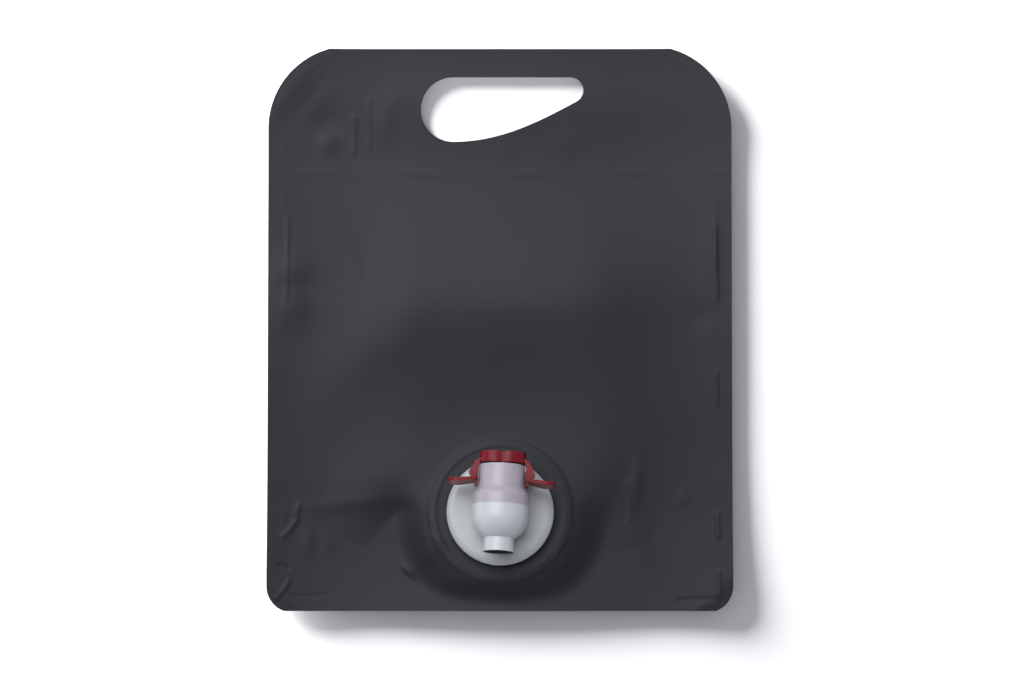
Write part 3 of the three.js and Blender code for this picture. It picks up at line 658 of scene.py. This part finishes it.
def red_polypropylene(colours):
    """Dyed polypropylene with the gloss of a polished mould."""
    material, tree, shader, place = new_material(
        "red_polypropylene", IOR=1.49, Specular_IOR_Level=0.2, Subsurface_Weight=0.08,
        Subsurface_Scale=0.001,
    )
    mottled(tree, shader, place, colours.handle, colours.handle_shade, 0.006, 0.34, 0.04)
    grained(tree, shader, place, 0.0006, 0.000005)
    return material


def material_of(make):
    """The material of one maker function, made once."""
    found = bpy.data.materials.get(make.__name__)
    return found or make(bpy.context.scene.pouch_colours)


# Settings.


class PouchFilmSettings(bpy.types.PropertyGroup):
    edge_lift: bpy.props.FloatProperty(
        name="Edge lift", description="Height of the outline over the floor",
        default=4.6 * MM, unit="LENGTH",
    )
    lift_width: bpy.props.FloatProperty(
        name="Lift width", description="Width of the border that curls off the floor",
        default=48 * MM, unit="LENGTH",
    )
    seal_thickness: bpy.props.FloatProperty(
        name="Seal thickness", description="Thickness of the sealed edges",
        default=0.8 * MM, unit="LENGTH",
    )
    side_seal: bpy.props.FloatProperty(
        name="Side seal", description="Width of the welded side edges",
        default=7 * MM, unit="LENGTH",
    )
    panel_rise: bpy.props.FloatProperty(
        name="Panel rise", description="How far the slack front panel stands off the back",
        default=3.4 * MM, unit="LENGTH",
    )
    header_bow: bpy.props.FloatProperty(
        name="Header bow", description="How far the film round the handle hole bows off the floor",
        default=1.8 * MM, unit="LENGTH",
    )
    crease_depth: bpy.props.FloatProperty(
        name="Crease depth", description="Strength of the creases and dents, 1 as modelled",
        default=1.0, subtype="FACTOR",
    )


class PouchColours(bpy.types.PropertyGroup):
    film: bpy.props.StringProperty(
        name="Film", description="Main colour of the film, as hex sRGB", default="#25272c"
    )
    film_shade: bpy.props.StringProperty(
        name="Film shade", description="Second colour of the film, as hex sRGB", default="#2a2c31"
    )
    # Painted shade: the colour that the film darkens to towards the lower right.
    film_low: bpy.props.StringProperty(
        name="Lower film", description="Colour that the film fades to below, as hex sRGB",
        default="#141519",
    )
    clear_plastic: bpy.props.StringProperty(
        name="Tap", description="Colour of the tap's body, as hex sRGB", default="#c6c8cd"
    )
    # Painted tint: the plunger's red as it shows through the barrel's wall.
    tinted_plastic: bpy.props.StringProperty(
        name="Tinted barrel", description="Colour of the barrel over the plunger, as hex sRGB",
        default="#aaa3ae",
    )
    # Painted shade: the greyer tone of the thin shield over the dark film.
    shield: bpy.props.StringProperty(
        name="Shield", description="Colour of the thin round shield, as hex sRGB",
        default="#adb0b2",
    )
    plunger_tint: bpy.props.FloatProperty(
        name="Plunger tint", description="How strongly the plunger tints the barrel",
        default=1.0, subtype="FACTOR",
    )
    gland: bpy.props.StringProperty(
        name="Gland", description="Colour of the welded gland, as hex sRGB", default="#e4e4e0"
    )
    handle: bpy.props.StringProperty(
        name="Handle", description="Main colour of the handle, as hex sRGB", default="#6a0d1c"
    )
    handle_shade: bpy.props.StringProperty(
        name="Handle shade", description="Second colour of the handle, as hex sRGB",
        default="#741020",
    )


# Pieces.


class POUCH_OT_film(bpy.types.Operator):
    """Make the film: front and back panel, seals, gusset mouth, handle hole and creases"""

    bl_idname = "pouch.film"
    bl_label = "Film"

    def execute(self, context):
        film = context.scene.pouch_film
        obj = sheet_grid(
            (-HALF_WIDTH, -HALF_HEIGHT),
            (HALF_WIDTH, HALF_HEIGHT),
            GRID_STEP,
            lambda x, y: front_height(x, y, film),
            lambda x, y: back_height(x, y, film),
        )
        refine(obj, film)
        hole = prism(handle_hole(), 60, Matrix.Translation((0, 0, -20 * MM)))
        slot = sheet_grid(
            (-MOUTH_HALF_WIDTH, -HALF_HEIGHT - 3),
            (MOUTH_HALF_WIDTH, GUSSET_FOLD_Y),
            SLOT_STEP,
            lambda x, y: back_height(x, y, film) + BACK_WALL + mouth_height(x, y),
            lambda x, y: back_height(x, y, film) + BACK_WALL,
        )
        pocket = turned(
            [(0, -8.9), (27.3, -8.9), (27.3, -6.7), (16.3, -6.7), (16.3, 0), (0, 0)], False
        )
        pocket.data.transform(TAP)
        combined(obj, [hole, slot, pocket], "DIFFERENCE", "MANIFOLD")
        dressed(
            obj, "pouch_film", material_of(matt_lacquered_laminate), "pouch", "film", "pouch",
            in_tap=False, angle=40,
        )
        return {"FINISHED"}


class POUCH_OT_gland(bpy.types.Operator):
    """Make the gland that is welded inside the film and holds the tap"""

    bl_idname = "pouch.gland"
    bl_label = "Gland"

    def execute(self, context):
        ring = turned(
            [
                (13.9, -8.6), (26.6, -8.6), (27, -8.2), (27, -7.4), (26.6, -7), (16, -7),
                (16, -4.5), (18.3, -4.5), (18.6, -4.2), (18.6, -3.7), (18.3, -3.4), (16, -3.4),
                (16, -2.4), (15.7, -2.1), (13.3, -2.1), (13.3, -7.5), (13.9, -7.5),
            ],
            False,
            128,
        )
        dressed(
            ring, "gland_ring", material_of(white_polyethylene), "pouch", "gland_plastic", "gland"
        )
        return {"FINISHED"}


def barrel_outline():
    """Half the outside of the nozzle, bowl, chamber, shoulder and barrel, from the outlet up."""
    neck = -math.acos(NOZZLE_RADIUS / CHAMBER_RADIUS)
    bowl = [neck * (1 - i / 16) for i in range(17)]
    outline = [(0, NOZZLE_END), (6.25, NOZZLE_END), (6.4, NOZZLE_END + 0.15)]
    outline += [(6.12, -14.3)]
    outline += [(CHAMBER_RADIUS * math.cos(a), BOWL_TOP + 10.6 * math.sin(a)) for a in bowl]
    for i in range(13):
        t = i / 12
        radius = CHAMBER_RADIUS + (BARREL_RADIUS - CHAMBER_RADIUS) * t * t * (3 - 2 * t)
        outline.append((radius, 4.6 + 3.8 * t))
    return outline + [(9.35, BARREL_TOP - 0.2), (9.15, BARREL_TOP), (0, BARREL_TOP)]


def barrel_bore():
    """Half the inside: nozzle bore, bowl, seat cone and barrel bore."""
    nozzle = 5.2
    neck = -math.acos(nozzle / CHAMBER_BORE)
    bowl = [neck * (1 - i / 16) for i in range(17)]
    outline = [(0, NOZZLE_END - 1), (nozzle + 0.3, NOZZLE_END - 1)]
    outline += [(nozzle + 0.3, NOZZLE_END), (nozzle + 0.1, NOZZLE_END + 3)]
    outline += [(CHAMBER_BORE * math.cos(a), BOWL_TOP + 9.2 * math.sin(a)) for a in bowl]
    outline += [(CHAMBER_BORE, 0.8), (BORE, 2.8)]
    return outline + [(BORE, BARREL_TOP + 1), (0, BARREL_TOP + 1)]


class POUCH_OT_tap(bpy.types.Operator):
    """Make the tap's body: round shield, inlet plug, barrel, chamber, nozzle and hinge lugs"""

    bl_idname = "pouch.tap"
    bl_label = "Tap"

    def execute(self, context):
        bevel = [math.pi / 2 * i / 8 for i in range(9)]
        width = SHIELD_RADIUS - SHIELD_FLAT
        rim = [
            (SHIELD_FLAT + width * math.cos(a), -SHIELD_BEVEL * (1 - math.sin(a))) for a in bevel
        ]
        shell = turned(
            [
                (0, -1.8), (19.9, -1.8), (21.1, -2.9), (22.1, -2.9), (SHIELD_RADIUS, -2.7),
                *rim, (0, 0),
            ],
            False,
            144,
        )
        web = block((-2.5, 4.6, -0.9), (2.5, 15.5, AXIS - BORE))
        plug = turned(
            [
                (11.6, -8.45), (13.3, -8.45), (13.55, -8.2), (13.55, -7.75), (13, -7.75),
                (13, -0.9), (11.6, -0.9),
            ],
            False,
        )
        parts = [turned(barrel_outline(), True, 128), web, plug]
        for side in (1, -1):
            eye = pin(PIVOT_X, PIVOT_Y, AXIS - 1.5, AXIS + 1.5, 1)
            axle = pin(PIVOT_X, PIVOT_Y, AXIS - 2.7, AXIS + 2.7, 0.5)
            foot = prism(
                [(8.95, 13.9), (11.4, 17.9), (9.9, 17.9), (8.95, 16.8)],
                3,
                Matrix.Translation((0, 0, (AXIS - 1.5) * MM)),
            )
            parts += [piece if side > 0 else mirrored(piece) for piece in (eye, axle, foot)]
        combined(shell, parts, "UNION")
        port = pin(0, 6.1, -2.8, AXIS, 3.3, 40)
        combined(shell, [turned(barrel_bore(), True, 128), port], "DIFFERENCE")
        dressed(
            shell, "tap_shell", material_of(natural_polypropylene), "tap", "clear_plastic",
            "tap_body",
        )
        # The faces just inside the outlet get the painted shade.
        shell.data.materials.append(material_of(shaded_bore))
        outlet = TAP @ Vector((0, (NOZZLE_END + 1.2) * MM, AXIS * MM))
        for face in shell.data.polygons:
            from_outlet = face.center - outlet
            along = from_outlet.dot(tap_up)
            radius = (from_outlet - along * tap_up).length
            if -1.3 * MM < along < 1.9 * MM and radius < 6 * MM:
                face.material_index = 1
        return {"FINISHED"}


class POUCH_OT_valve(bpy.types.Operator):
    """Make the plunger inside the barrel and the springy dome over it"""

    bl_idname = "pouch.valve"
    bl_label = "Valve"

    def execute(self, context):
        stem = turned(
            [
                (0, 0.65), (8.4, 0.25), (9.5, 0.25), (9.8, 0.55), (9.8, 1.06), (8.2, 2.6),
                (6.6, 4.1), (6.6, 14.0), (6.3, 14.3), (3, 14.3), (3, 16.7), (2.7, 16.95),
                (0, 16.95),
            ],
            True,
        )
        ribs = []
        for i in range(4):
            rib = block((5.6, 4.5, -0.6), (8.05, 12.7, 0.6), 0.15)
            turn = Matrix.Rotation((i + 0.5) * math.pi / 2, 4, "Y")
            rib.data.transform(Matrix.Translation((0, 0, AXIS * MM)) @ turn)
            ribs.append(rib)
        combined(stem, ribs, "UNION")
        red = material_of(red_polypropylene)
        dressed(stem, "valve_plunger", red, "plunger", "red_plastic", "plunger")
        dome = turned(
            [
                (7.25, 14.0), (8.05, 14.0), (8.05, 15.5), (7.9, 15.7), (6.4, 16.8), (4.2, 17.85),
                (0, 17.9), (0, 17.1), (3.9, 17.05), (6.0, 16.1), (7.25, 15.2),
            ],
            True,
        )
        dressed(dome, "press_dome", red, "plunger", "red_plastic", "return_dome")
        return {"FINISHED"}


def cap_outline():
    """Half an oval seen down the barrel, with a lobe on its front and back faces."""
    outline = []
    for i in range(41):
        angle = -math.pi / 2 + math.pi * i / 40
        x = CAP_HALF_WIDTH * math.cos(angle)
        dent = 1.1 * math.exp(-((x / 2.2) ** 2))
        outline.append((x, (CAP_HALF_DEPTH - dent) * math.sin(angle)))
    return outline


def handle_half(side):
    """One half of the handle: cap, cheek plates, arm and wing. The right half is drawn."""
    down_barrel = Matrix.Rotation(-math.pi / 2, 4, "X")
    cap_place = Matrix.Translation((0, CAP_BOTTOM * MM, AXIS * MM)) @ down_barrel
    half = prism(cap_outline(), CAP_HEIGHT, cap_place)
    lean = math.tan(math.radians(CAP_LEAN)) * (CAP_HEIGHT + 1)
    wedge = prism(
        [
            (-1, CAP_BOTTOM - 1), (0.2, CAP_BOTTOM - 1), (0.2, CAP_BOTTOM),
            (0.2 + lean, CAP_BOTTOM + CAP_HEIGHT + 1), (-1, CAP_BOTTOM + CAP_HEIGHT + 1),
        ],
        24,
        Matrix.Translation((0, 0, (AXIS - 12) * MM)),
    )
    combined(half, [wedge], "DIFFERENCE")
    cheek = [
        (9.8, 10.5), (11.1, 10.5), (13.65, 13.9), (13.2, 14.8), (11.55, 17.9), (9.7, 19.9),
        (7.3, 19.9), (7.3, 18.8), (9.25, 18.8), (9.25, 17.9), (9.8, 16.75),
    ]
    parts = [
        prism(cheek, 1.4, Matrix.Translation((0, 0, low * MM)))
        for low in (AXIS - 3.2, AXIS + 1.8)
    ]
    parts.append(pin(PIVOT_X, PIVOT_Y, AXIS - 3.2, AXIS + 3.2, 1.15))
    combined(half, parts, "UNION")
    gap = block((8.8, 13.9, AXIS - 1.8), (14.7, 19.2, AXIS + 1.8))
    combined(half, [gap], "DIFFERENCE")
    arm = block((9.9, 8.8, AXIS - 3.6), (11.1, 12.9, AXIS + 3.6))
    corners = [(math.radians(a), s) for s in (-1, 1) for a in range(0, 91, 15)]
    knee = WING_LENGTH - WING_CORNER
    paddle = [(0, -5.3)]
    paddle += [
        (knee + WING_CORNER * math.sin(a), -WING_FLAT - WING_CORNER * math.cos(a))
        for a, s in corners
        if s < 0
    ]
    paddle += [
        (knee + WING_CORNER * math.cos(a), WING_FLAT + WING_CORNER * math.sin(a))
        for a, s in corners
        if s > 0
    ]
    paddle += [(0, 5.3)]
    wing = prism(paddle, 1.0, down_barrel)

    def flare(points):
        share = points[:, 0] / (WING_LENGTH * MM)
        half_thickness = (0.6 + 0.15 * share) * MM
        points[:, 1] = np.where(points[:, 1] > 0.5 * MM, half_thickness, -half_thickness)
        points[:, 1] -= 0.35 * MM * np.sin(math.pi * share)
        return points

    shaped(wing, flare)
    droop = Matrix.Rotation(math.radians(-WING_DROOP), 4, "Z")
    wing.data.transform(Matrix.Translation((10.2 * MM, 11.2 * MM, AXIS * MM)) @ droop)
    combined(half, [arm, wing], "UNION")
    hole = pin(PIVOT_X, PIVOT_Y, AXIS - 2.85, AXIS + 2.85, 0.65)
    combined(half, [hole], "DIFFERENCE")
    front = AXIS + 5.4
    if side < 0:
        tongue = block((-1.5, CAP_BOTTOM + 0.3, front - 1.9), (3, CAP_BOTTOM + 4.4, front))
        combined(half, [tongue], "UNION")
    else:
        slot = block((-1, CAP_BOTTOM - 1, front - 2.2), (3.8, CAP_BOTTOM + 6, front + 0.3))
        combined(half, [slot], "DIFFERENCE")
    applied(
        half, "BEVEL", width=HANDLE_BEVEL * MM, segments=3, limit_method="ANGLE",
        angle_limit=math.radians(40), miter_outer="MITER_ARC",
    )
    return half if side > 0 else mirrored(half)


class POUCH_OT_handle(bpy.types.Operator):
    """Make the two halves of the handle, which rock on the lugs beside the barrel's rim"""

    bl_idname = "pouch.handle"
    bl_label = "Handle"

    def execute(self, context):
        red = material_of(red_polypropylene)
        for side, word in ((-1, "left"), (1, "right")):
            node = "handle_" + word
            dressed(handle_half(side), "handle_half_" + word, red, node, "red_plastic", node)
        return {"FINISHED"}


def softbox(name, place, size, power, lit):
    """A round area light that points at the middle of the pouch and lights only some objects."""
    bpy.ops.object.light_add(type="AREA")
    light = bpy.context.object
    light.name = name
    light.data.shape = "DISK"
    light.data.size = size
    light.data.energy = power
    light.location = place
    light.rotation_euler = (-light.location).to_track_quat("-Z", "Y").to_euler()
    receivers = bpy.data.collections.new(name + "_lights")
    for obj in lit:
        receivers.objects.link(obj)
    light.light_linking.receiver_collection = receivers
    return light


class POUCH_OT_stage(bpy.types.Operator):
    """Set the pale floor, the soft lights and the camera"""

    bl_idname = "pouch.stage"
    bl_label = "Stage"

    def execute(self, context):
        scene = context.scene
        deselect()
        bpy.ops.mesh.primitive_plane_add(size=6)
        floor = context.object
        floor.name = "floor"
        material, tree, shader, place = new_material("white_sweep", Roughness=0.9)
        mottled(tree, shader, place, "#f8f8f8", "#f6f6f6", 0.4, 0.9, 0.02)
        floor.data.materials.append(material)
        world = bpy.data.worlds.new("soft_room")
        world.use_nodes = True
        room = world.node_tree.nodes["Background"]
        room.inputs["Color"].default_value = linear(ROOM_TONE)
        room.inputs["Strength"].default_value = ROOM_STRENGTH
        scene.world = world
        pieces = [obj for obj in scene.objects if obj.type == "MESH" and obj != floor]
        softbox("overhead_softbox", *OVERHEAD_LIGHT, pieces)
        floor_light = softbox("floor_light", *FLOOR_LIGHT, [floor])
        # Only the pouch shades the floor: at this low angle the tap would throw a long shadow.
        blockers = bpy.data.collections.new("floor_light_blockers")
        blockers.objects.link(bpy.data.objects["pouch_film"])
        floor_light.light_linking.blocker_collection = blockers
        view = math.radians(CAMERA_ELEVATION)
        aim = Vector(CAMERA_AIM) * MM
        bpy.ops.object.camera_add()
        camera = context.object
        camera.name = "photo_camera"
        camera.data.lens = CAMERA_LENS
        camera.data.sensor_width = 36
        camera.location = aim + Vector((0, -math.cos(view), math.sin(view))) * CAMERA_DISTANCE
        camera.rotation_euler = (math.pi / 2 - view, 0, 0)
        scene.camera = camera
        scene.view_settings.view_transform = "Standard"
        return {"FINISHED"}


class POUCH_PT_pieces(bpy.types.Panel):
    """Lists the pieces of the pouch and their settings"""

    bl_idname = "POUCH_PT_pieces"
    bl_label = "Stand-up pouch"
    bl_space_type = "VIEW_3D"
    bl_region_type = "UI"
    bl_category = "Pouch"

    def draw(self, context):
        for settings in (context.scene.pouch_film, context.scene.pouch_colours):
            for name in settings.__annotations__:
                self.layout.prop(settings, name)
        for operator in OPERATORS:
            self.layout.operator(operator.bl_idname)


OPERATORS = (
    POUCH_OT_film,
    POUCH_OT_gland,
    POUCH_OT_tap,
    POUCH_OT_valve,
    POUCH_OT_handle,
    POUCH_OT_stage,
)
CLASSES = (PouchFilmSettings, PouchColours, *OPERATORS, POUCH_PT_pieces)


def register():
    for item in CLASSES:
        bpy.utils.register_class(item)
    bpy.types.Scene.pouch_film = bpy.props.PointerProperty(type=PouchFilmSettings)
    bpy.types.Scene.pouch_colours = bpy.props.PointerProperty(type=PouchColours)


def unregister():
    del bpy.types.Scene.pouch_colours
    del bpy.types.Scene.pouch_film
    for item in reversed(CLASSES):
        bpy.utils.unregister_class(item)


def main():
    register()
    for operator in OPERATORS:
        getattr(bpy.ops.pouch, operator.bl_idname.split(".")[1])()
    deselect()


if __name__ == "__main__":
    main()
